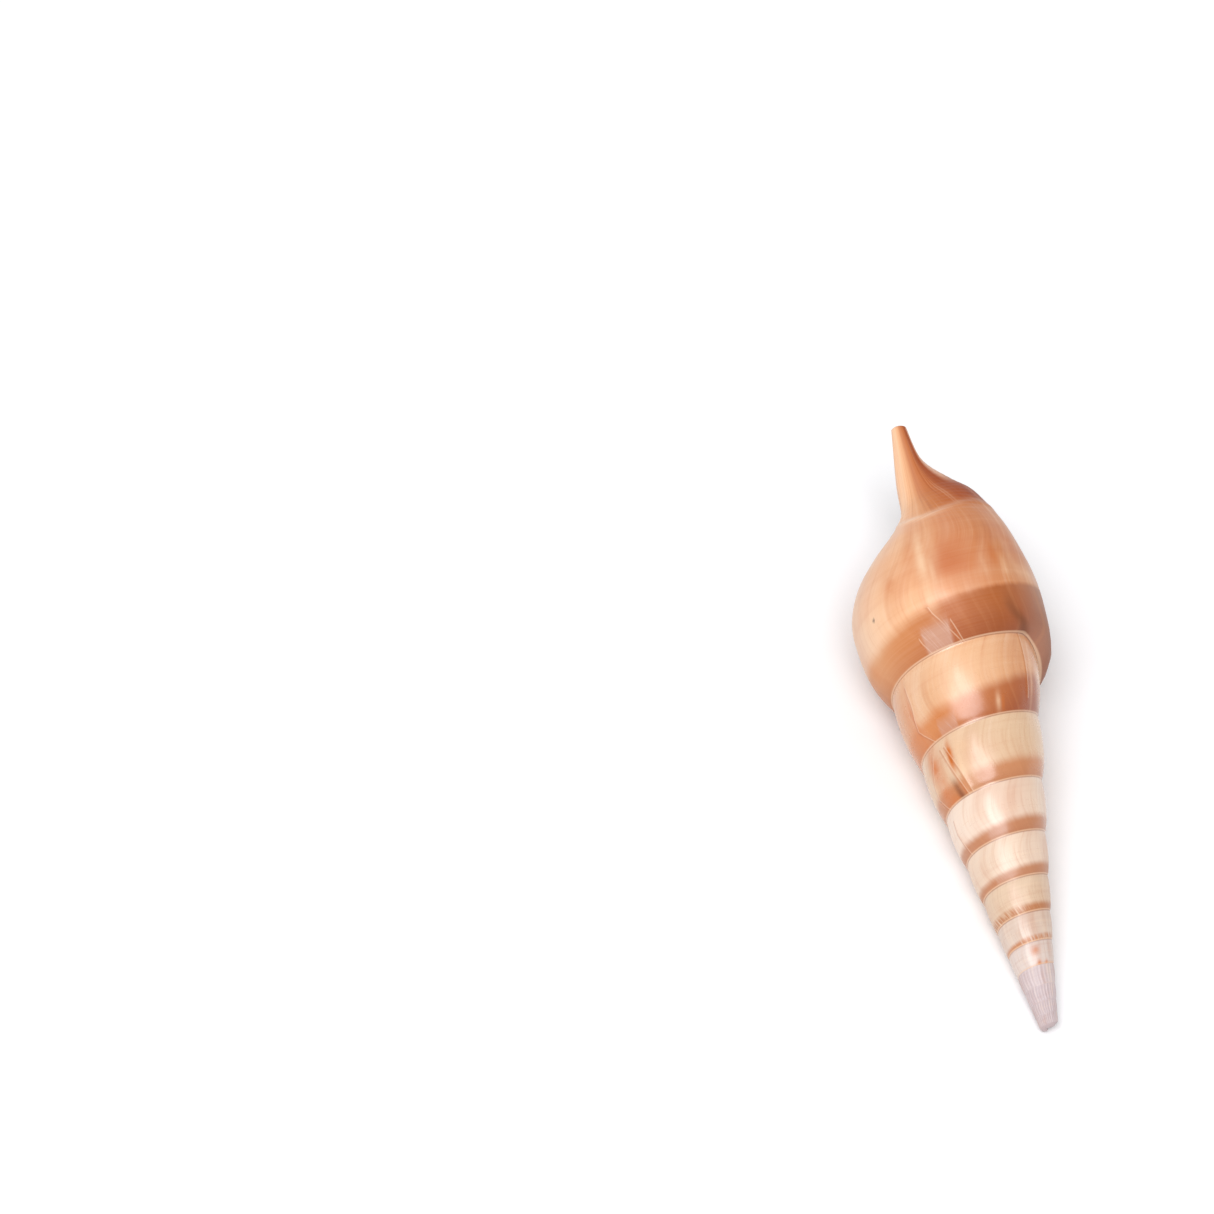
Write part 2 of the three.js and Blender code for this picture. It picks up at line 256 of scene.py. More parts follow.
def relief(turn, share, distance, knot):
    """Millimetres to add to the radius: step at the suture, ribs, swell of growth, welts, keel, threads."""
    size = distance / FULL_SIZE_DISTANCE
    past = share * (plain_suture(turn + 1) - plain_suture(turn))
    age = growth_age(turn, share)
    lift = SUTURE_STEP * size * (1 - np.exp(-past / (STEP_REACH * size))) * (1 - smooth(share, 0.1, 0.75))
    ribs = RIB_HEIGHT * (1 - smooth(turn, -8.3, -6.6)) * np.cos(TAU * RIBS_PER_TURN * age)
    swell = SWELL_HEIGHT * size * (np.sin(TAU * 7.3 * age + 1) + np.sin(TAU * 11.9 * age + 2.1 * share))
    between = smooth(share, 0, 0.06) * (1 - np.where(knot < 0, smooth(share, 0.94, 1), 0))
    raised = (ribs + swell) * between
    for middle, width, high, low_share, high_share in welts:
        inside = (share >= low_share) * (1 - smooth(share, high_share - 0.15, high_share))
        raised = raised + WELT_HEIGHT * size * high * inside * between * bump(age, middle, width)
    keel = np.interp(turn, keel_turns, keel_knots)
    on_neck = np.where(knot < 0, 0, 1)
    raised = raised + on_neck * KEEL_HEIGHT * bump(knot, keel, 0.14)
    threads = THREAD_HEIGHT * np.cos(TAU * distance / THREAD_PITCH) * (1 + bump(turn, -0.52, 0.14))
    raised = raised + on_neck * threads * smooth(knot, keel - 1.4, keel) * (1 - smooth(knot, 8.2, 9.4))
    return (lift + raised) * (1 - smooth(knot, 9.2, LAST_KNOT))


print("welts raised:", len(welts))

# %% [markdown]
# ## Marks of growth
# The animal laid down colour with the shell, so every mark follows the growth: a brown band beside the
# suture, streaks from pause to pause, and scars where the lip was once chipped. An image could carry
# them, but lines of growth bend with the whorls. Here each mark is a short list of turns and shares,
# read off the back of the shell, and the rest of the skin continues them.

# %% Band, scars, lines of painted shadow and stain, stains and pale spots
band_edge = [  # turn, share of the whorl where the brown band ends
    (-7.5, 0), (-6.5, 0.1), (-6.17, 0.14), (-6, 0.2), (-5.8, 0.2), (-5.2, 0.24), (-4.8, 0.22),
    (-4.1, 0.19), (-3.85, 0.27), (-3.1, 0.22), (-2.9, 0.28), (-2, 0.28), (-1.86, 0.3),
    (-1.12, 0.3), (-0.95, 0.37), (-0.82, 0.48),
    (-0.19, 0.36), (-0.16, 0.34), (-0.096, 0.376), (-0.063, 0.41), (0, 0.43), (0.054, 0.44),
    (0.097, 0.45), (0.155, 0.47), (0.32, 0.5),
]
scars = {  # lines of shares and turns, in sets whose lines stay far apart
    "scar_a": [
        [(0, 0.01), (0.18, -0.013), (0.34, -0.03), (0.45, -0.037)],
        [(0, -1.12), (0.22, -1.153), (0.38, -1.149), (0.53, -1.141), (0.9, -1.145)],
        [(0, -2.073), (0.4, -2.092), (0.88, -2.114)],
        [(0, -3.15), (0.5, -3.17), (0.82, -3.165)],
    ],
    "scar_b": [
        [(0, 0.016), (0.02, 0.012), (0.255, -0.005)],
        [(0.1, -0.845), (1, -0.85)],
        [(0, -2.058), (0.4, -2.074), (0.88, -2.1)],
    ],
    "scar_c": [
        [
            (0, -0.455), (0.3, -0.437), (0.6, -0.434), (0.9, -0.42),
            (1.3, -0.402), (1.8, -0.41), (2.3, -0.43),
        ],
        [(0, -0.055), (0.12, -0.066), (0.2, -0.07)],
        [(0, -2.168), (0.23, -2.19), (0.45, -2.178), (0.68, -2.157), (0.9, -2.14)],
    ],
}
# The first line is painted shadow of a shallow dip beside the lip; the second is a brown stain on the third
# whorl.
dip_shadow_and_stain_lines = [  # lines of shares and turns
    [(0, 0.165), (0.04, 0.153), (0.149, 0.124), (0.231, 0.112), (0.5, 0.107)],
    [(0, -2.094), (0.12, -2.1), (0.3, -2.104), (0.6, -2.112)],
]
stains = [  # turn, share, width in turns, width in shares, strength
    (-0.085, 0.8, 0.014, 0.16, 0.45), (0.103, 0.87, 0.008, 0.16, 0.5), (-0.205, 0.26, 0.02, 0.1, 0.4),
    (-2.15, 0.45, 0.03, 0.6, 0.9), (-2.155, 0.62, 0.014, 0.25, 0.7), (-1.185, 0.5, 0.03, 0.6, 0.4),
    (-1.151, 0.5, 0.004, 0.5, 0.6), (-0.924, 0.12, 0.003, 0.09, 1.0),
    (-0.05, 1.23, 0.012, 0.25, 0.4), (-0.095, 0.8, 0.012, 0.25, 0.35), (0.095, 0.78, 0.012, 0.14, 0.5),
    (0.15, 1.1, 0.03, 0.4, 0.3), (-2.12, 0.04, 0.03, 0.08, 0.7), (-2.088, 0.64, 0.008, 0.24, 1.5),
    (-2.075, 0.12, 0.008, 0.12, 0.5), (-1.16, 0.5, 0.02, 0.5, 0.4), (-1.08, 0.3, 0.03, 0.08, 0.3),
    (-6.97, 0.62, 0.032, 0.2, 1.0), (-6.957, 0.05, 0.02, 0.15, 1.2), (-6.89, 0.03, 0.016, 0.12, 1.1),
    (-0.6, 1.0, 0.04, 0.8, 0.4), (-1.5, 0.5, 0.03, 0.5, 0.5), (-2.6, 0.6, 0.03, 0.4, 0.4),
    (-3.42, 0.5, 0.02, 0.4, 0.4),
]
pales = [  # as the stains, and so are the blushes
    (-2.067, 0.45, 0.007, 0.4, 0.7), (0.116, 0.66, 0.008, 0.13, 0.5), (0.076, 0.7, 0.003, 0.13, 0.4),
    (-0.765, 0.5, 0.03, 0.7, 0.5), (-0.027, 0.95, 0.009, 0.5, 1.0), (-0.012, 0.75, 0.004, 0.2, 0.5),
    (-0.2, 0.75, 0.05, 0.6, 0.5), (-0.005, 1.1, 0.01, 0.4, 0.3), (0.17, 0.6, 0.04, 0.1, 0.5),
    (0.14, 0.8, 0.012, 0.3, 0.3), (-0.936, 0.15, 0.006, 0.12, 0.8), (-0.83, 0.5, 0.004, 0.6, 0.6),
    (-2.05, 0.5, 0.02, 0.6, 0.6), (-1.0, 0.7, 0.05, 0.25, 0.4),
]
blushes = [
    (0.016, 0.9, 0.05, 0.3, 1.3), (0.015, 0.76, 0.04, 0.12, 0.4), (0.03, 1.4, 0.05, 0.25, 0.4),
    (-0.09, 1.0, 0.03, 0.3, 0.3),
]
# Patches near the sutures on the line of the softbox's reflection: worn glaze, and a painted highlight.
worn_and_highlit_patches = [  # from turn, to turn, up to share, strength
    (-0.062, -0.006, 0.24, 1.0), (-1.095, -1.045, 0.17, 0.6),
    (-3.05, -2.98, 0.2, 0.5), (-4.08, -4.0, 0.2, 0.4),
]
CORNER_NUMBERS = [
    "turn", "share", "age", "band", "dip_shadow_and_stain", "stain", "pale", "blush", "worn_and_highlit", "seam",
    "within", "rim", "callus", "knob", "neck", *scars,
]


def nearest_line(turn, share, radius, lines):
    """Signed millimetres round the whorl to the nearest line, read at each share; far off past its ends."""
    nearest = np.full(np.broadcast(turn, share).shape, 999.0)
    value = nearest.copy()
    for line_of in lines:
        shares, turns = np.array(line_of).T
        off = (turn - np.interp(share, shares, turns)) * TAU * radius
        ended = (share < shares[0]) | (share > shares[-1])
        closer = np.abs(off) < np.abs(nearest)
        value = np.where(closer, np.where(ended, np.copysign(9.0, off), off), value)
        nearest = np.where(closer, off, nearest)
    return value


def scar_welts(turn, share, radius):
    """Millimetres raised along each scar: a hill across the line."""
    across = [nearest_line(turn, share, radius, lines) for lines in scars.values()]
    return SCAR_HEIGHT * sum(bump(off, 0.05, 0.4) for off in across)


def spots(turn, share, marks):
    """Sum of hills, each with a middle and a width both ways, times its strength."""
    total = 0
    for middle, across, wide, tall, strength in marks:
        total = total + strength * bump(turn, middle, wide) * bump(share, across, tall)
    return total


PATCH_EDGE_TURNS, PATCH_EDGE_SHARE = 0.003, 0.05


def beyond(x, edge, half_width):
    """0 before an edge and 1 after it."""
    return smooth(x, edge - half_width, edge + half_width)


def worn_and_highlit_at(turn, share):
    """1 in a patch between two turns and up to a share, with soft edges."""
    total = 0
    for start, end, top, strength in worn_and_highlit_patches:
        around = beyond(turn, start, PATCH_EDGE_TURNS) * (1 - beyond(turn, end, PATCH_EDGE_TURNS))
        total = total + strength * around * (1 - beyond(share, top, PATCH_EDGE_SHARE))
    return total


def marks_at(turn, share, radius, seam):
    """All marks of a sheet by name; the seam is given, in millimetres from the suture.

    A distance from the lines of painted shadow and stain counts twice on the spire, so that a line is half as
    wide there."""
    edges = np.array(band_edge)
    dip_shadow_and_stain_radius = np.where(turn < -1, 2, 1) * radius
    return {
        "turn": turn,
        "share": share,
        "age": growth_age(turn, share),
        "band": np.interp(turn, edges[:, 0], edges[:, 1]) - share,
        "dip_shadow_and_stain": nearest_line(turn, share, dip_shadow_and_stain_radius, dip_shadow_and_stain_lines),
        "stain": spots(turn, share, stains),
        "pale": spots(turn, share, pales),
        "blush": spots(turn, share, blushes),
        "worn_and_highlit": worn_and_highlit_at(turn, share),
        "seam": seam,
        **{name: nearest_line(turn, share, radius, lines) for name, lines in scars.items()},
    }


print("marks:", len(CORNER_NUMBERS), "numbers,", len(stains) + len(pales) + len(blushes), "spots")

# %% [markdown]
# ## Sheets of the skin
# The skin is made of sheets: spire, last whorl, rim of the lip, the hollow inside, and two small ends.
# Each is a grid of points, a function of two parameters, and each corner of its faces also gets
# numbers that the finish reads, such as the growth age and how far inside the shell it lies. Numbers
# on corners may jump where two sheets meet, which numbers on points can't.

# %% Grid steps and the shared rows
STEPS_PER_TURN = 240
SHOULDER_ROWS = 14
BODY_ROWS = 130
RIM_ROWS = 12
HOLLOW_STEPS = 44

even = np.arange(SHOULDER_ROWS + 1) / SHOULDER_ROWS
shoulder_shares = mix(even, 0.5 - 0.5 * np.cos(np.pi * even), 0.55)
row_knots = np.concatenate(
    [SHOULDER_KNOTS * shoulder_shares, np.linspace(SHOULDER_KNOTS, LAST_KNOT, BODY_ROWS + 1)[1:]]
)
sheets = []


def place(distance, radius, turn):
    """From distance, radius and turn to a place beside the axis, which is y, with the back at +z."""
    angle = TAU * turn
    x, y, z = radius * np.sin(angle), distance + 0 * angle, radius * np.cos(angle)
    return np.stack(np.broadcast_arrays(x, y, z), -1)


def add_sheet(points, turned_over=False, **numbers):
    """Keep a grid of points and its corner numbers, each of which may be one value for the whole grid."""
    shape = points.shape[:2]
    absent = {"band": -9.0, "dip_shadow_and_stain": 9.0, "seam": 9.0, **dict.fromkeys(scars, 9.0)}
    values = [np.broadcast_to(numbers.get(name, absent.get(name, 0.0)), shape) for name in CORNER_NUMBERS]
    sheets.append((points, np.stack(values, -1), turned_over))


# %% Spire
spire_steps = int(round((LIP_TURN - 1 - first_turn) * STEPS_PER_TURN))
spire_turn = (LIP_TURN - 1 - np.arange(spire_steps, -1, -1) / STEPS_PER_TURN)[:, None]
spire_distance = mix(suture(spire_turn), suture(spire_turn + 1), shoulder_shares)
spire_share = np.broadcast_to(shoulder_shares, spire_distance.shape)
rests_on = spire_turn - (np.arange(spire_steps + 1)[:, None] >= STEPS_PER_TURN)
spire_radius = whorl_radius(spire_distance, spire_turn)
spire_radius[:, 0] = whorl_radius(spire_distance[:, :1], rests_on)[:, 0]
spire_radius += relief(spire_turn, spire_share, spire_distance, -1.0)
spire_radius[:, 1:-1] += scar_welts(spire_turn, spire_share, spire_radius)[:, 1:-1]
spire_points = place(spire_distance, spire_radius, spire_turn)
past_seam = spire_distance - suture(spire_turn)
to_seam = suture(spire_turn + 1) - spire_distance
spire_seam = np.where(past_seam < to_seam, past_seam, -to_seam)
add_sheet(spire_points, **marks_at(spire_turn, spire_share, spire_radius, spire_seam))
print("spire grid:", spire_points.shape)

# %% Last whorl, with the callus that the shell rests on
CALLUS_THICKNESS = 0.55
CALLUS_RISES = 0.05
CALLUS_EDGE = 0.178


def milky(turns_in, knot):
    """The thick white part of the callus: a narrow tongue whose edge runs out in three points."""
    points = 0.03 * bump(knot, 2.0, 0.5) + 0.022 * bump(knot, 3.6, 0.4) + 0.012 * bump(knot, 5.2, 0.4)
    edge = 0.055 + points + 0.003 * np.sin(knot * 4.7)
    return (1 - smooth(turns_in, edge, edge + 0.02)) * smooth(knot, 0.5, 1.0) * (1 - smooth(knot, 5.6, 7))


def callus(turns_in, knot):
    """A layer that rises from the aperture, ends in a wavy edge and thins out along the neck."""
    edge = CALLUS_EDGE + 0.006 * np.sin(knot * 2.1) + 0.004 * np.sin(knot * 5.3 + 1)
    around = smooth(turns_in, 0, CALLUS_RISES) * (1 - smooth(turns_in, edge, edge + 0.014))
    return around * smooth(knot, 0.6, 1.4) * (1 - smooth(knot, 6.5, 8))


LIP_SWELL = 1.1
FLANGE_LIFT = 0.5
PIT_TURN, PIT_KNOT, PIT_DEPTH, PIT_SIZE = -0.14, 2.03, 0.12, 0.45
PIT_RADIUS, MM_PER_KNOT = 18, 5
body_turn = (LIP_TURN - 1 + np.arange(STEPS_PER_TURN + 1) / STEPS_PER_TURN)[:, None]
body_distance, body_radius = along(outline_at(body_turn[:, 0]), row_knots)
body_share = share_of_whorl(body_distance, body_turn)
body_callus = callus(body_turn - body_turn[0], row_knots)
body_radius = body_radius + relief(body_turn, body_share, body_distance, row_knots)
round_pit = (body_turn - PIT_TURN) * TAU * PIT_RADIUS
along_pit = (row_knots - PIT_KNOT) * MM_PER_KNOT
pit = np.exp(-((round_pit**2 + along_pit**2) / PIT_SIZE**2))
body_radius = body_radius + CALLUS_THICKNESS * body_callus - PIT_DEPTH * pit
body_radius += scar_welts(body_turn, body_share, body_radius) * (1 - smooth(row_knots, 6, 7))
body_radius += LIP_SWELL * smooth(body_turn, 0.17, 0.28) * bump(row_knots, 0.62, 0.42)
body_radius += FLANGE_LIFT * smooth(body_turn, 0.08, 0.18) * bump(row_knots, 7.2, 0.8)
body_points = place(body_distance, body_radius, body_turn)
body_points[0, : SHOULDER_ROWS + 1] = spire_points[-1]
on_suture = whorl_radius(body_distance[:, 0], body_turn[:, 0] - 1)
body_points[:, 0] = place(body_distance[:, 0], on_suture, body_turn[:, 0])
add_sheet(
    body_points,
    **marks_at(body_turn, body_share, body_radius, body_distance - suture(body_turn)),
    callus=mix(0.3 * body_callus, 1, milky(body_turn - body_turn[0], row_knots)),
    rim=smooth(body_turn, LIP_TURN - 0.012, LIP_TURN) * smooth(row_knots, 0, 1),
    knob=-pit,
    neck=smooth(row_knots - np.interp(body_turn, keel_turns, keel_knots), -0.4, 0.6),
)
print("last whorl grid:", body_points.shape)

# %% Rim of the outer lip
WALL = 1.5
RIM_REACH = 2.0
RIM_FLARE = 0.9
RIM_ROLL = 0.35
KNOB_REACH = 2.4
KNOBS, FIRST_KNOB, KNOB_SPACING = 5, 3.75, 0.75
KNOB_WIDTH = 0.25
KNOB_HOOK = 0.7

knob_knots = FIRST_KNOB + KNOB_SPACING * np.arange(KNOBS)
wall_before = along(outline_at([LIP_TURN - 1]), np.linspace(0, LAST_KNOT, 401))


def inner_radius(distance, back):
    """Radius of the wall that the hollow turns round: the whorl before, shrunk for each turn back."""
    size = WHORL_GROWTH**-back
    return size * np.interp(distance / size, wall_before[0][0], wall_before[1][0])


def wall_at(distance, radius, back):
    """Wall thickness, never more than half the room beside the whorl before."""
    return np.minimum(WALL, (radius - inner_radius(distance, back)) / 2)


def knob_height(knot):
    """1 on each knob and 0 between them: the highest of five hills with blunt tops."""
    away = np.abs(knot[..., None] - knob_knots) / KNOB_WIDTH
    return np.exp(-(away**4)).max(-1)


lip_distance, lip_radius = body_distance[-1], body_radius[-1]
lip_wall = wall_at(lip_distance, lip_radius, 0)
lip_wall[0] = 0
full = smooth(row_knots, 0, 2.5) * (1 - smooth(row_knots, 7.5, LAST_KNOT))
around = (np.pi * np.arange(RIM_ROWS + 1) / RIM_ROWS)[:, None]
before_end = np.arange(RIM_ROWS + 1)[:, None] < RIM_ROWS
rise = np.sin(around) * before_end
knobs = full * knob_height(row_knots)
reach = RIM_REACH * full * rise + KNOB_REACH * knobs * rise**0.6
rim_radius = lip_radius - lip_wall / 2 * (1 - np.cos(around)) + (RIM_FLARE * full + KNOB_HOOK * knobs) * rise
rim_radius += RIM_ROLL * full * np.sin(2 * around) * before_end
rim_points = place(lip_distance, rim_radius, LIP_TURN + reach / (TAU * lip_radius))
rim_points[0] = body_points[-1]
add_sheet(
    rim_points,
    turn=LIP_TURN,
    share=share_of_whorl(lip_distance, LIP_TURN),
    age=LIP_TURN,
    rim=smooth(row_knots, 0, 1),
    knob=knobs * rise,
    within=smooth(around, 2.2, 3.1) * 0.25,
)
print("rim grid:", rim_points.shape)

# %% [markdown]
# ## The hollow
# The animal lived in the tube, so the aperture has to lead into the dark. A Solidify modifier on the
# outside would cut into the whorl before, because the tube has no room there. Instead the hollow is
# drawn as closed loops, half on the outer wall and half on the whorl that it turns round, stepped back
# from the lip and closed out of sight.

# %% Loops of the hollow
HOLLOW_TURNS = 0.62
HOLLOW_CROWDING = 1.5
HOLLOW_END_TURN = 0.02
CANAL_DRAWS_IN_BY = 0.25
HOLLOW_KNOTS = (0.7, 6.2)
HOLLOW_CLOSES = (0.72, 1.12)

depth = np.arange(HOLLOW_STEPS + 1) / HOLLOW_STEPS
back = (HOLLOW_TURNS * depth**HOLLOW_CROWDING)[:, None]
drawn = smooth(back, 0, CANAL_DRAWS_IN_BY)
inside_knots = mix(row_knots, mix(*HOLLOW_KNOTS, row_knots / LAST_KNOT), drawn)
outer_distance, outer_radius = along(outline_at(LIP_TURN - back[:, 0]), inside_knots)
outer_radius = outer_radius - wall_at(outer_distance, outer_radius, back)
edge_distance = along(outline_at([LIP_TURN - 1]), row_knots[SHOULDER_ROWS:])[0][0]
edge_share = (edge_distance - suture(LIP_TURN)) / (CANAL_TIP - suture(LIP_TURN))
inner_distance = mix(outer_distance[:, :1], outer_distance[:, -1:], edge_share)
inner_wall = inner_radius(inner_distance, back)

loop_distance = np.concatenate([outer_distance, inner_distance[:, ::-1]], 1)
loop_radius = np.concatenate([outer_radius, inner_wall[:, ::-1]], 1)
openness = 1 - smooth(depth, *HOLLOW_CLOSES)[:, None]
loop_distance = mix(loop_distance.mean(1, keepdims=True), loop_distance, openness)
loop_radius = mix(loop_radius.mean(1, keepdims=True), loop_radius, openness)
hollow_points = place(loop_distance, loop_radius, LIP_TURN - back)
hollow_points[0] = np.concatenate([rim_points[-1], body_points[0, SHOULDER_ROWS:][::-1]])
end_turn = LIP_TURN - HOLLOW_TURNS - HOLLOW_END_TURN
hollow_end = place(loop_distance[-1:].mean(1), loop_radius[-1:].mean(1), end_turn)
hollow_points = np.concatenate([hollow_points, np.repeat(hollow_end[:, None], hollow_points.shape[1], 1)])
hollow_points = np.concatenate([hollow_points, hollow_points[:, :1]], 1)

loop_back = np.append(back[:, 0], HOLLOW_TURNS + HOLLOW_END_TURN)[:, None]
on_inner = np.append(np.arange(loop_distance.shape[1]) > len(row_knots) - 1, False)
loop_share = share_of_whorl(np.append(loop_distance[0], loop_distance[0, 0]), LIP_TURN)
add_sheet(
    hollow_points,
    turned_over=True,
    turn=LIP_TURN - loop_back,
    share=loop_share,
    age=LIP_TURN - loop_back,
    within=mix(0.25, 1, smooth(loop_back, 0, 0.05)),
    rim=(1 - smooth(loop_back, 0, 0.03)) * ~on_inner,
    callus=on_inner * (1 - smooth(loop_back, 0.05, 0.3)),
)
print("hollow grid:", hollow_points.shape)

# %% Worn tip of the spire and the end of the canal
TIP_DIMPLE = 1.2


def cap(loop, centre, shares, lifts):
    """Rings from a loop to its centre: each mixes the loop and the centre, lifted along the axis."""
    shares, lifts = np.array(shares)[:, None, None], np.array(lifts)[:, None, None]
    return mix(loop, centre, shares) + lifts * np.array([0, 1, 0])


tip_loop = np.concatenate([spire_points[: STEPS_PER_TURN + 1, 0], spire_points[0, ::-1][1:]])
tip_centre = np.array([0, SPIRE_TIP + TIP_DIMPLE, 0])
tip_rings = cap(tip_loop, tip_centre, [0, 0.2, 0.45, 0.66, 0.78, 1], [0, -0.33, -0.7, -0.85, -0.55, 0.2])
add_sheet(
    np.swapaxes(tip_rings, 0, 1),
    turned_over=True,
    turn=first_turn,
    age=first_turn,
    share=0.5,
    knob=np.array([0, 0, 0, 0.1, 0.6, 1]) * -1,
)
canal_loop = np.concatenate([body_points[:, -1], rim_points[1:, -1], body_points[:1, -1]])
canal_centre = place(CANAL_TIP + 0.5, 0.25, -0.03)
canal_rings = cap(canal_loop, canal_centre, [0, 0.25, 0.6, 1], [0, 0.12, 0.1, 0])
add_sheet(np.swapaxes(canal_rings, 0, 1), turn=0, age=0, share=3.0, rim=0.3, neck=1)
print("sheets:", len(sheets))

# %% [markdown]
# ## One closed mesh
# The sheets share their borders, so merging points that coincide closes the skin. It is then laid
# down as in the CAD: turned about its axis so that the right line of the back faces up, raised at the
# canal end, and moved so that its lowest point touches the ground.

# %% Weld the sheets and lay the shell down
AXIS_RISE = np.radians(11.3)
UP_MERIDIAN = np.radians(11.2)
MERGE_DISTANCE = 1e-6


def sheet_mesh(name):
    """All sheets in one mesh: grid squares as faces, and the corner numbers as attributes."""
    points, squares, numbers, start = [], [], [], 0
    for grid, values, turned_over in sheets:
        n, m = grid.shape[:2]
        index = np.arange(n * m).reshape(n, m)
        corners = np.stack([index[:-1, :-1], index[1:, :-1], index[1:, 1:], index[:-1, 1:]], -1)
        corners = corners.reshape(-1, 4)[:, ::-1 if turned_over else 1]
        points.append(grid.reshape(-1, 3))
        squares.append(corners + start)
        numbers.append(values.reshape(n * m, -1)[corners])
        start += n * m
    mesh = bpy.data.meshes.new(name)
    mesh.from_pydata(np.concatenate(points) / 1000, [], np.concatenate(squares).tolist())
    corner_numbers = np.concatenate(numbers).reshape(-1, len(CORNER_NUMBERS))
    for k, number in enumerate(CORNER_NUMBERS):
        layer = mesh.attributes.new(number, "FLOAT", "CORNER")
        layer.data.foreach_set("value", corner_numbers[:, k].astype(np.float32))
    return mesh


shell_mesh = sheet_mesh("shell_skin")
skin = bmesh.new()
skin.from_mesh(shell_mesh)
bmesh.ops.remove_doubles(skin, verts=skin.verts, dist=MERGE_DISTANCE)
print("open edges:", sum(not edge.is_manifold for edge in skin.edges))
skin.to_mesh(shell_mesh)
skin.free()

lay_down = Matrix.Rotation(AXIS_RISE, 4, "X") @ Matrix.Rotation(-UP_MERIDIAN, 4, "Y")
shell_mesh.transform(lay_down)
corners = np.empty(3 * len(shell_mesh.vertices))
shell_mesh.vertices.foreach_get("co", corners)
low, high = corners.reshape(-1, 3).min(0), corners.reshape(-1, 3).max(0)
shell_mesh.transform(Matrix.Translation([-(low[0] + high[0]) / 2, -(low[1] + high[1]) / 2, -low[2]]))
shell_mesh.shade_smooth()
print("size in mm:", (1000 * (high - low)).round(2))

shell = bpy.data.objects.new("shell_skin", shell_mesh)
bpy.context.collection.objects.link(shell)
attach(shell, "root")
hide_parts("shell")
print("faces:", len(shell_mesh.polygons))

# %% [markdown]
# ## Glaze
# The shell is a thin clear glaze over chalky layers, so one Principled shader with a coat carries the
# gloss, and nodes paint the layers below it. Every pattern reads the numbers of the growth: noise that
# is stretched across the whorl gives the streaks, and the distances in millimetres give sharp lines
# at any zoom. Painting on plain object coordinates would cut across the growth lines.

# %% Helpers for the node tree
WHITE_OF_GLOSS = 0.045

glaze = bpy.data.materials.new("shell_glaze")
glaze.use_nodes = True
tree = glaze.node_tree
shader = tree.nodes["Principled BSDF"]


def tone(red, green, blue):
    """A colour as seen, 0-255, made linear by a power of 2.4, less the white that the gloss adds."""
    seen = ((np.array([red, green, blue]) / 255 + 0.055) / 1.055) ** 2.4
    return (*np.maximum(seen - WHITE_OF_GLOSS, 0.01), 1)


def feed(socket, value):
    """Link a socket to a node's output, or set it to a number or colour."""
    if isinstance(value, bpy.types.NodeSocket):
        tree.links.new(value, socket)
    elif value is not None:
        socket.default_value = value


def calc(way, *values, clamp=False):
    """One step of arithmetic."""
    made = tree.nodes.new("ShaderNodeMath")
    made.operation, made.use_clamp = way, clamp
    for socket, value in zip(made.inputs, values):
        feed(socket, value)
    return made.outputs[0]


def times(first, *others, clamp=False):
    """Values multiplied one after another."""
    for other in others:
        first = calc("MULTIPLY", first, other, clamp=clamp)
    return first


def plus(first, *others, clamp=False):
    """Values added one after another."""
    for other in others:
        first = calc("ADD", first, other, clamp=clamp)
    return first


def rest_of(value):
    """What is left of one."""
    return calc("SUBTRACT", 1.0, value)


def number(name):
    """A number that the mesh carries at its face corners."""
    made = tree.nodes.new("ShaderNodeAttribute")
    made.attribute_name = name
    return made.outputs["Fac"]


def step(value, low, high):
    """Smooth step: 0 at low, 1 at high, and the other way round where low is the larger."""
    made = tree.nodes.new("ShaderNodeMapRange")
    made.interpolation_type = "SMOOTHSTEP"
    flip = float(low > high)
    for socket, given in zip(made.inputs, (value, min(low, high), max(low, high), flip, 1 - flip)):
        feed(socket, given)
    return made.outputs[0]


def line(value, middle, half_width):
    """1 on the middle value, and 0 half a width away from it."""
    return step(calc("ABSOLUTE", calc("SUBTRACT", value, middle)), half_width, 0.0)


def paint(share, below, above, way="MIX"):
    """The lower colour where the share is 0, and the upper one where it is 1."""
    made = tree.nodes.new("ShaderNodeMix")
    made.data_type, made.blend_type = "RGBA", way
    feed(made.inputs[0], share)
    feed(made.inputs[6], below)
    feed(made.inputs[7], above)
    return made.outputs[2]


def layers(colour, rows):
    """Layers over a colour: a noise, where the layer starts and is full, its strength and its colour."""
    for noise, start, whole_at, strength, seen, way in rows:
        colour = paint(times(step(noise, start, whole_at), strength), colour, tone(*seen), way)
    return colour


def grain(at, scale, detail=2.0, rough=0.5):
    """Noise between 0 and 1 with a middle of a half."""
    made = tree.nodes.new("ShaderNodeTexNoise")
    feed(made.inputs["Vector"], at)
    for name, value in (("Scale", scale), ("Detail", detail), ("Roughness", rough)):
        made.inputs[name].default_value = value
    return made.outputs["Fac"]


RAMP_START, RAMP_TURNS = 11.0, 11.4


def tones_by_turn(stops):
    """Colours along the growth, from the first whorl to the lip, each at its turn."""
    made = tree.nodes.new("ShaderNodeValToRGB")
    places = made.color_ramp.elements
    while len(places) < len(stops):
        places.new(0.5)
    for place_of, (at, colour) in zip(places, stops):
        place_of.position = (at + RAMP_START) / RAMP_TURNS
        place_of.color = tone(*colour)
    feed(made.inputs[0], calc("DIVIDE", plus(number("turn"), RAMP_START), RAMP_TURNS))
    return made.outputs[0]


def growth_place(around, across):
    """A place for noise: so many cells per turn along the growth, and so many across a whorl."""
    made = tree.nodes.new("ShaderNodeCombineXYZ")
    feed(made.inputs[0], times(number("age"), around))
    feed(made.inputs[1], times(number("share"), across))
    return made.outputs[0]


on_object = tree.nodes.new("ShaderNodeTexCoord").outputs["Object"]
print("helpers ready, shader:", shader.name)

# %% [markdown]
# ### Ground colour and streaks
# The first whorls are bleached to a cool white. From there the ground warms to cream, then tan, and it
# is brown near the lip. Streaks of warmer and paler shell run across each whorl where growth paused.

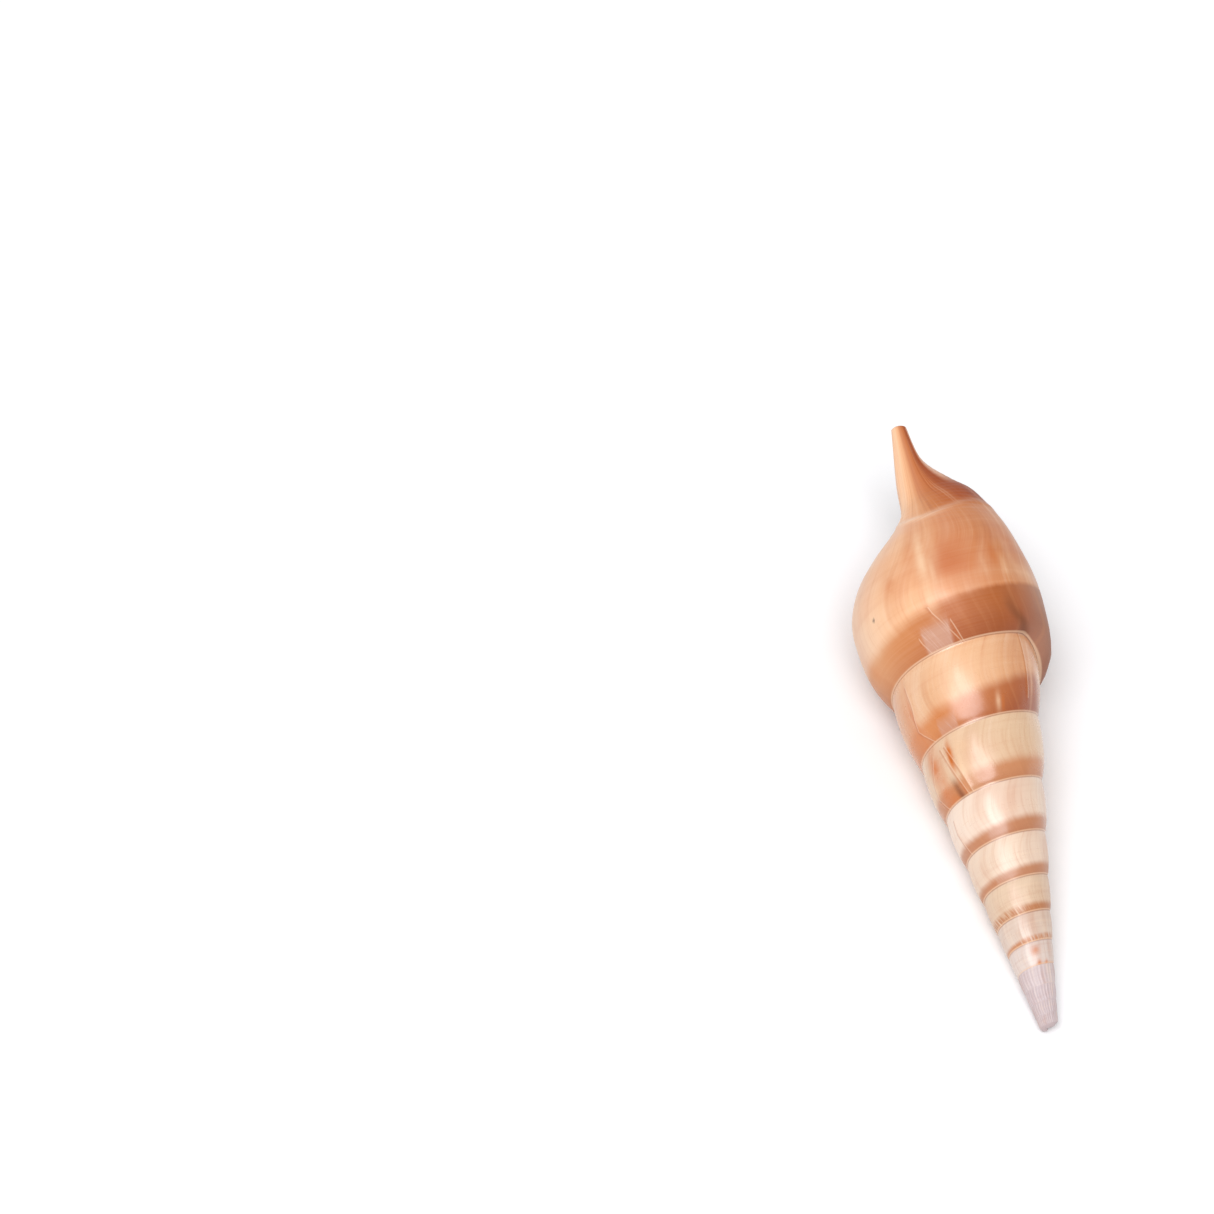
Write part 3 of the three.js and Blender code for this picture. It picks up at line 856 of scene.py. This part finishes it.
# %% Ground colour
ground = tones_by_turn([
    (-10.7, (206, 191, 192)), (-8.6, (212, 197, 199)), (-7.75, (215, 201, 201)),
    (-7.35, (227, 212, 204)), (-6.5, (222, 205, 194)), (-5.0, (224, 196, 168)),
    (-3.2, (244, 222, 204)), (-2.2, (228, 199, 168)), (-1.5, (230, 190, 152)), (-1.22, (224, 178, 140)),
    (-1.0, (238, 188, 146)), (-0.72, (214, 150, 104)), (-0.62, (186, 112, 62)), (-0.4, (188, 112, 60)),
    (-0.3, (220, 170, 130)), (-0.22, (234, 198, 170)), (-0.08, (248, 198, 154)), (0.0, (238, 174, 126)),
    (0.05, (222, 148, 102)), (0.1, (212, 137, 88)), (0.2, (208, 142, 94)), (0.31, (190, 108, 60)),
])
broad = grain(growth_place(11.0, 0.45), 1.0, 2.0, 0.5)
fine = grain(growth_place(60.0, 0.6), 1.0, 2.0, 0.5)
hair = grain(growth_place(170.0, 1.2), 1.0, 2.0, 0.6)
cloud = grain(on_object, 85.0, 2.0, 0.5)
colour = layers(ground, [
    (broad, 0.5, 0.75, 0.3, (222, 150, 98), "MULTIPLY"), (broad, 0.5, 0.25, 0.3, (252, 226, 200), "MIX"),
    (fine, 0.52, 0.8, 0.25, (220, 160, 112), "MULTIPLY"), (fine, 0.48, 0.2, 0.18, (252, 230, 208), "MIX"),
    (hair, 0.5, 0.75, 0.16, (214, 148, 100), "MULTIPLY"), (hair, 0.5, 0.25, 0.12, (252, 226, 200), "MIX"),
    (cloud, 0.42, 0.75, 0.16, (230, 160, 108), "MULTIPLY"),
])
# Painted shade in the troughs between the fine ribs of the first whorls.
ribs = calc("COSINE", times(number("age"), TAU * RIBS_PER_TURN))
rib_shade = times(step(ribs, 0.3, -1.0), step(number("turn"), -6.6, -9.6))
colour = paint(times(rib_shade, 0.5), colour, tone(190, 172, 174))
spiral = grain(growth_place(2.5, 9.0), 1.0, 2.0, 0.6)
colour = layers(colour, [
    (spiral, 0.5, 0.75, 0.14, (222, 156, 108), "MULTIPLY"), (spiral, 0.5, 0.25, 0.12, (252, 218, 184), "MIX"),
])
print("nodes for the ground:", len(tree.nodes))

# %% [markdown]
# ### Band beside the suture
# Each whorl has a brown band next to the older whorl. It starts as broken spots, widens with age, and
# its edge is soft where the shell grew evenly and crisp after a pause.

# %% Band
band_tone = tones_by_turn([
    (-7.0, (206, 144, 106)), (-6.0, (196, 130, 90)), (-5.0, (188, 124, 84)),
    (-4.0, (192, 130, 95)), (-3.0, (192, 128, 92)),
    (-2.0, (200, 136, 98)), (-1.1, (214, 140, 92)), (-0.9, (178, 102, 60)), (-0.7, (160, 90, 52)),
    (-0.4, (176, 104, 60)), (-0.2, (212, 144, 98)), (-0.07, (200, 126, 78)), (0.0, (182, 105, 56)),
    (0.09, (172, 102, 60)), (0.12, (166, 98, 62)), (0.15, (182, 122, 94)),
    (0.175, (176, 130, 110)), (0.21, (188, 146, 126)), (0.32, (162, 110, 88)),
])
ragged = grain(growth_place(60.0, 1.5), 1.0, 2.0, 0.6)
depth_in_band = plus(number("band"), times(calc("SUBTRACT", ragged, 0.5), 0.04))
soft_edge = step(depth_in_band, -0.08, 0.1)
crisp_edge = step(depth_in_band, -0.03, 0.035)
is_crisp = step(number("turn"), -0.05, 0.1)
in_band = plus(times(crisp_edge, is_crisp), times(soft_edge, rest_of(is_crisp)))
whole = plus(step(number("turn"), -5.2, -4.5), step(number("turn"), -5.9, -6.3))
broken = step(plus(ragged, times(whole, 0.4)), 0.3, 0.62)
in_band = times(in_band, broken, step(number("turn"), -7.3, -6.6))
colour = paint(times(in_band, 0.92), colour, band_tone)
deep = times(in_band, step(depth_in_band, 0.1, 0.42))
colour = paint(times(deep, 0.35), colour, tone(200, 150, 120), "MULTIPLY")
streaked = times(in_band, step(fine, 0.5, 0.3))
colour = paint(times(streaked, 0.12), colour, tone(226, 160, 112))
print("nodes with the band:", len(tree.nodes))

# %% [markdown]
# ### Stains, scars, painted shadow, and worn patches with painted highlight
# Chipped and mended places stand out as orange or brown stains beside a thin pale welt. A soft dark
# streak beside the lip is painted shadow of a shallow dip in the last whorl, and a like streak on the
# third whorl is a brown stain. Near the sutures, down the line of the softbox's reflection, the glaze is
# worn to a dull lilac with fine bright scratches, and these patches also carry a painted highlight.

# %% Stains and scars
uneven = plus(0.45, times(step(grain(on_object, 150.0, 3.0, 0.6), 0.35, 0.6), 0.4))
colour = paint(times(number("blush"), 0.7, clamp=True), colour, tone(208, 126, 84))
colour = paint(times(number("pale"), uneven, clamp=True), colour, tone(248, 208, 170))
colour = paint(times(number("stain"), uneven, clamp=True), colour, tone(208, 120, 62))
welt = 0.0
for name in scars:
    beside = number(name)
    colour = paint(times(line(beside, -0.22, 0.4), 0.45), colour, tone(186, 108, 62))
    colour = paint(times(line(beside, 0.08, 0.2), 0.45), colour, tone(246, 212, 182))
    welt = plus(welt, line(beside, 0.08, 0.25))
# A soft dark streak along each line: painted shadow of a dip beside the lip, and a brown stain on the third
# whorl.
dip_shadow_and_stain = number("dip_shadow_and_stain")
fades = times(step(number("share"), 0.48, 0.04), 0.75)
colour = paint(times(line(dip_shadow_and_stain, 0.0, 2.2), fades), colour, tone(132, 86, 54))
scratches = step(grain(growth_place(230.0, 2.0), 1.0, 2.0, 0.6), 0.52, 0.68)
# Pale lilac patches: worn glaze with scratches, and a painted highlight where the softbox is reflected.
worn_and_highlit = calc("MINIMUM", number("worn_and_highlit"), 1.0)
colour = paint(times(worn_and_highlit, 0.75), colour, tone(206, 162, 142))
colour = paint(times(worn_and_highlit, scratches, 0.3), colour, tone(232, 204, 190))
print("nodes with the marks:", len(tree.nodes))

# %% [markdown]
# ### Suture
# The later whorl ends in a fine pale cord on the earlier one, with a painted highlight on its lit edge,
# and a thin brown painted shadow lies under it. The cord is thickest, and the painted shadow darkest and
# broadest, along the spur of the lip. Their width comes from a distance in millimetres that the mesh
# carries, so both stay thin on the large whorls.

# %% Cord with painted highlight, and painted shadow of the suture
seam = number("seam")
not_tip = step(number("turn"), -8.4, -6.2)
on_spur = step(number("turn"), 0.19, 0.26)
# The pale cord along the suture: its own pale colour, and a painted highlight on the lit edge of the later
# whorl.
cord_and_highlight_seam = calc("DIVIDE", seam, plus(1.0, times(on_spur, 2.0)))
cord_and_highlight = times(step(seam, 0.0, 0.05), step(cord_and_highlight_seam, 0.34, 0.16))
# A painted shadow under the cord, deeper below the spur of the lip.
shadow_under_cord = times(step(seam, -0.3, -0.02), step(seam, 0.03, -0.01))
colour = paint(times(cord_and_highlight, not_tip, 0.6), colour, tone(238, 202, 170))
shadow_below_spur = times(line(number("turn"), -0.78, 0.1), 0.4)
suture_shadow = times(shadow_under_cord, not_tip, plus(0.55, shadow_below_spur))
colour = paint(suture_shadow, colour, tone(146, 84, 50))
# A broad painted shadow in the gap beside the spur of the lip.
spur_gap_shadow = times(step(seam, -0.75, -0.2), step(seam, 0.03, -0.01))
spur_gap_shadow = times(spur_gap_shadow, line(number("turn"), -0.76, 0.12))
colour = paint(times(spur_gap_shadow, 0.8), colour, tone(104, 74, 56))
print("nodes with the suture:", len(tree.nodes))

# %% [markdown]
# ### Neck and canal
# Past the keel the neck is paler on its left and dark brown towards the lip, with long streaks that
# run out along the canal. A painted shade lies in the hollow beside the flange, and on its right a pale
# rim carries a painted highlight along the edge. The same ramp along the turns as before gives
# the tones, and a number on the corners says where the neck starts.

# %% Neck
neck_tone = tones_by_turn([
    (-0.68, (176, 104, 62)), (-0.4, (190, 116, 72)), (-0.22, (242, 192, 154)), (-0.1, (255, 212, 176)),
    (-0.03, (242, 186, 144)), (0.04, (206, 134, 92)), (0.12, (182, 98, 46)), (0.2, (152, 82, 40)),
    (0.32, (170, 92, 50)),
])
on_neck = number("neck")
long_streaks = grain(growth_place(42.0, 0.35), 1.0, 3.0, 0.6)
colour = paint(times(on_neck, 0.85), colour, neck_tone)
streak_share = times(on_neck, step(long_streaks, 0.5, 0.7))
colour = paint(times(streak_share, 0.3), colour, tone(186, 116, 78), "MULTIPLY")
colour = paint(times(on_neck, step(long_streaks, 0.48, 0.3), 0.3), colour, tone(248, 206, 170))
at_keel = times(line(on_neck, 0.4, 0.5), step(number("turn"), 0.16, -0.06))
at_keel = times(at_keel, step(number("turn"), -0.3, -0.12))
along_keel = step(grain(growth_place(3.0, 46.0), 1.0, 2.0, 0.6), 0.35, 0.6)
at_keel = times(at_keel, plus(0.35, times(along_keel, 0.45)))
colour = paint(at_keel, colour, tone(246, 212, 184))
pink_streak = times(line(number("turn"), 0.03, 0.06), step(number("share"), 1.75, 2.1))
colour = paint(times(pink_streak, 0.45), colour, tone(206, 138, 108))
# Painted shade in the hollow of the neck beside the flange.
flange_hollow_shade = times(line(number("turn"), 0.14, 0.05), step(number("share"), 1.6, 1.9))
colour = paint(times(flange_hollow_shade, 0.25), colour, tone(150, 94, 76))
# The flange's pale rim, with a painted highlight along its top edge.
pale_rim_and_highlight = times(step(number("turn"), 0.15, 0.185), step(number("share"), 1.85, 2.1))
colour = paint(times(pale_rim_and_highlight, 0.7), colour, tone(248, 200, 168))
below_canal = times(step(number("turn"), -0.3, -0.42), step(number("share"), 1.9, 2.7))
colour = paint(times(below_canal, 0.75), colour, tone(132, 92, 82))
print("nodes with the neck:", len(tree.nodes))

# %% [markdown]
# ### Lip, callus and inside
# The thick lip and its knobs are cream white with orange between them. The callus is a milky layer,
# and the inside is tan with brown growth stripes that darken into the tube. A small pit on the last whorl
# and the bottom of the worn tip carry a knob number below zero, and are painted nearly black: painted
# shade inside them.

# %% Lip, callus and inside
rim = number("rim")
knob = number("knob")
blotch = grain(on_object, 260.0, 2.0, 0.5)
lip_tone = paint(step(blotch, 0.42, 0.6), tone(226, 140, 78), tone(246, 226, 206))
lip_tone = paint(step(knob, 0.25, 0.7), lip_tone, tone(250, 240, 230))
colour = paint(times(step(rim, 0.1, 0.9), 0.95), colour, lip_tone)
milk = grain(on_object, 140.0, 3.0, 0.6)
callus_tone = paint(step(milk, 0.45, 0.7), tone(242, 224, 210), tone(228, 188, 156))
colour = paint(times(step(number("callus"), 0.0, 0.3), 0.3), colour, tone(222, 160, 116))
ridge = times(line(number("callus"), 0.14, 0.13), step(number("share"), 0.2, 0.4))
colour = paint(times(ridge, 0.6), colour, tone(246, 214, 184))
colour = paint(times(step(number("callus"), 0.35, 0.95), 0.8), colour, callus_tone)
within = number("within")
stripes = grain(growth_place(36.0, 0.8), 1.0, 2.0, 0.5)
inside_tone = paint(step(stripes, 0.45, 0.6), tone(206, 124, 72), tone(150, 92, 84))
inside_tone = paint(times(step(number("share"), 2.0, 2.9), 0.7), inside_tone, tone(140, 88, 72))
inside_tone = paint(step(within, 0.4, 1.0), tone(240, 206, 176), inside_tone)
colour = paint(step(within, 0.12, 0.6), colour, inside_tone)
# Painted shade: the pit and the dimple at the tip are painted nearly black.
pit = times(step(knob, -0.35, -0.9), 0.9)
colour = paint(pit, colour, tone(70, 42, 34))
feed(shader.inputs["Base Color"], colour)
print("nodes with the lip:", len(tree.nodes))

# %% [markdown]
# ### Gloss and fine relief
# The glaze is bright over the whorls, and duller on the bleached tip, on the worn patches with their
# painted highlight, on the neck and on the late band. Bump adds the finest growth lines, which the mesh is
# too coarse for.

# %% Gloss and bump
smudge = grain(on_object, 220.0, 3.0, 0.6)
roughness = plus(0.25, times(step(smudge, 0.35, 0.75), 0.12))
roughness = plus(roughness, times(step(number("turn"), -0.6, -0.2), 0.2))
roughness = plus(roughness, times(worn_and_highlit, 0.16))
on_late_band = times(in_band, step(number("turn"), -0.35, -0.15))
roughness = plus(roughness, times(on_late_band, 0.2))
roughness = plus(roughness, times(step(number("turn"), -2.6, -3.8), 0.15))
roughness = plus(roughness, times(step(number("turn"), -6.8, -8.6), 0.22), clamp=True)
feed(shader.inputs["Roughness"], roughness)
shader.inputs["IOR"].default_value = 1.58
dull = times(on_neck, step(number("turn"), -0.35, -0.1))
dull = calc("MAXIMUM", dull, times(on_late_band, 0.6))
feed(shader.inputs["Specular IOR Level"], calc("SUBTRACT", 0.5, times(dull, 0.32)))
feed(shader.inputs["Coat Weight"], times(rest_of(dull), 0.25))
shader.inputs["Coat Roughness"].default_value = 0.2
lines_of_growth = grain(growth_place(420.0, 1.0), 1.0, 2.0, 0.6)
crumb = grain(on_object, 900.0, 2.0, 0.6)
height = plus(times(lines_of_growth, 0.6), times(crumb, 0.1))
height = plus(height, times(welt, 0.8))
relief_node = tree.nodes.new("ShaderNodeBump")
relief_node.inputs["Strength"].default_value = 0.28
relief_node.inputs["Distance"].default_value = 0.00006
feed(relief_node.inputs["Height"], height)
feed(shader.inputs["Normal"], relief_node.outputs[0])
shell.data.materials.append(glaze)
print("nodes in the glaze:", len(tree.nodes))

# %% [markdown]
# ## Floor, light and camera
# The shell lies on a plain pale floor under one large softbox, nearly overhead, with even light from
# all round. Its soft reflections run down the middle of the whorls. The camera looks down on the back
# from beyond the tip of the spire, and keeps the shell low and to the right in the frame.

# %% Floor
FLOOR = 6
floor_mesh = bpy.data.meshes.new("floor")
corners = [(-FLOOR, -FLOOR, 0), (FLOOR, -FLOOR, 0), (FLOOR, FLOOR, 0), (-FLOOR, FLOOR, 0)]
floor_mesh.from_pydata(corners, [], [(0, 1, 2, 3)])
floor = bpy.data.objects.new("floor", floor_mesh)
bpy.context.collection.objects.link(floor)
paper = bpy.data.materials.new("pale_paper")
paper.use_nodes = True
paper.node_tree.nodes["Principled BSDF"].inputs["Base Color"].default_value = (0.93, 0.93, 0.93, 1)
paper.node_tree.nodes["Principled BSDF"].inputs["Roughness"].default_value = 0.9
paper.node_tree.nodes["Principled BSDF"].inputs["Specular IOR Level"].default_value = 0.2
floor_mesh.materials.append(paper)
print("floor laid")

# %% Light
world = bpy.data.worlds.new("even_light")
world.use_nodes = True
world.node_tree.nodes["Background"].inputs["Color"].default_value = (1, 1, 1, 1)
world.node_tree.nodes["Background"].inputs["Strength"].default_value = 0.5
bpy.context.scene.world = world
bpy.context.scene.view_settings.view_transform = "Standard"
lamp = bpy.data.lights.new("softbox", "AREA")
lamp.shape = "RECTANGLE"
lamp.size, lamp.size_y = 4.2, 2.85
lamp.energy = 234
lamp.color = (0.97, 0.97, 1.0)
softbox = bpy.data.objects.new("softbox", lamp)
toward = Matrix.Translation((-1.26, -1.74, 4.8)).to_translation()
softbox.matrix_world = Matrix.Translation(toward) @ toward.to_track_quat("Z", "Y").to_matrix().to_4x4()
softbox.visible_camera = False
bpy.context.collection.objects.link(softbox)
print("softbox at", [round(c, 2) for c in toward])

# %% Camera
camera = bpy.data.objects.new("camera", bpy.data.cameras.new("camera"))
camera.data.lens = 85
camera.matrix_world = Matrix((
    (0.9841, 0.1355, -0.1152, -0.13216),
    (-0.1777, 0.7792, -0.6011, -0.30859),
    (0.0083, 0.6120, 0.7908, 0.47067),
    (0, 0, 0, 1),
))
bpy.context.collection.objects.link(camera)
bpy.context.scene.camera = camera
print("camera lens in mm:", camera.data.lens)
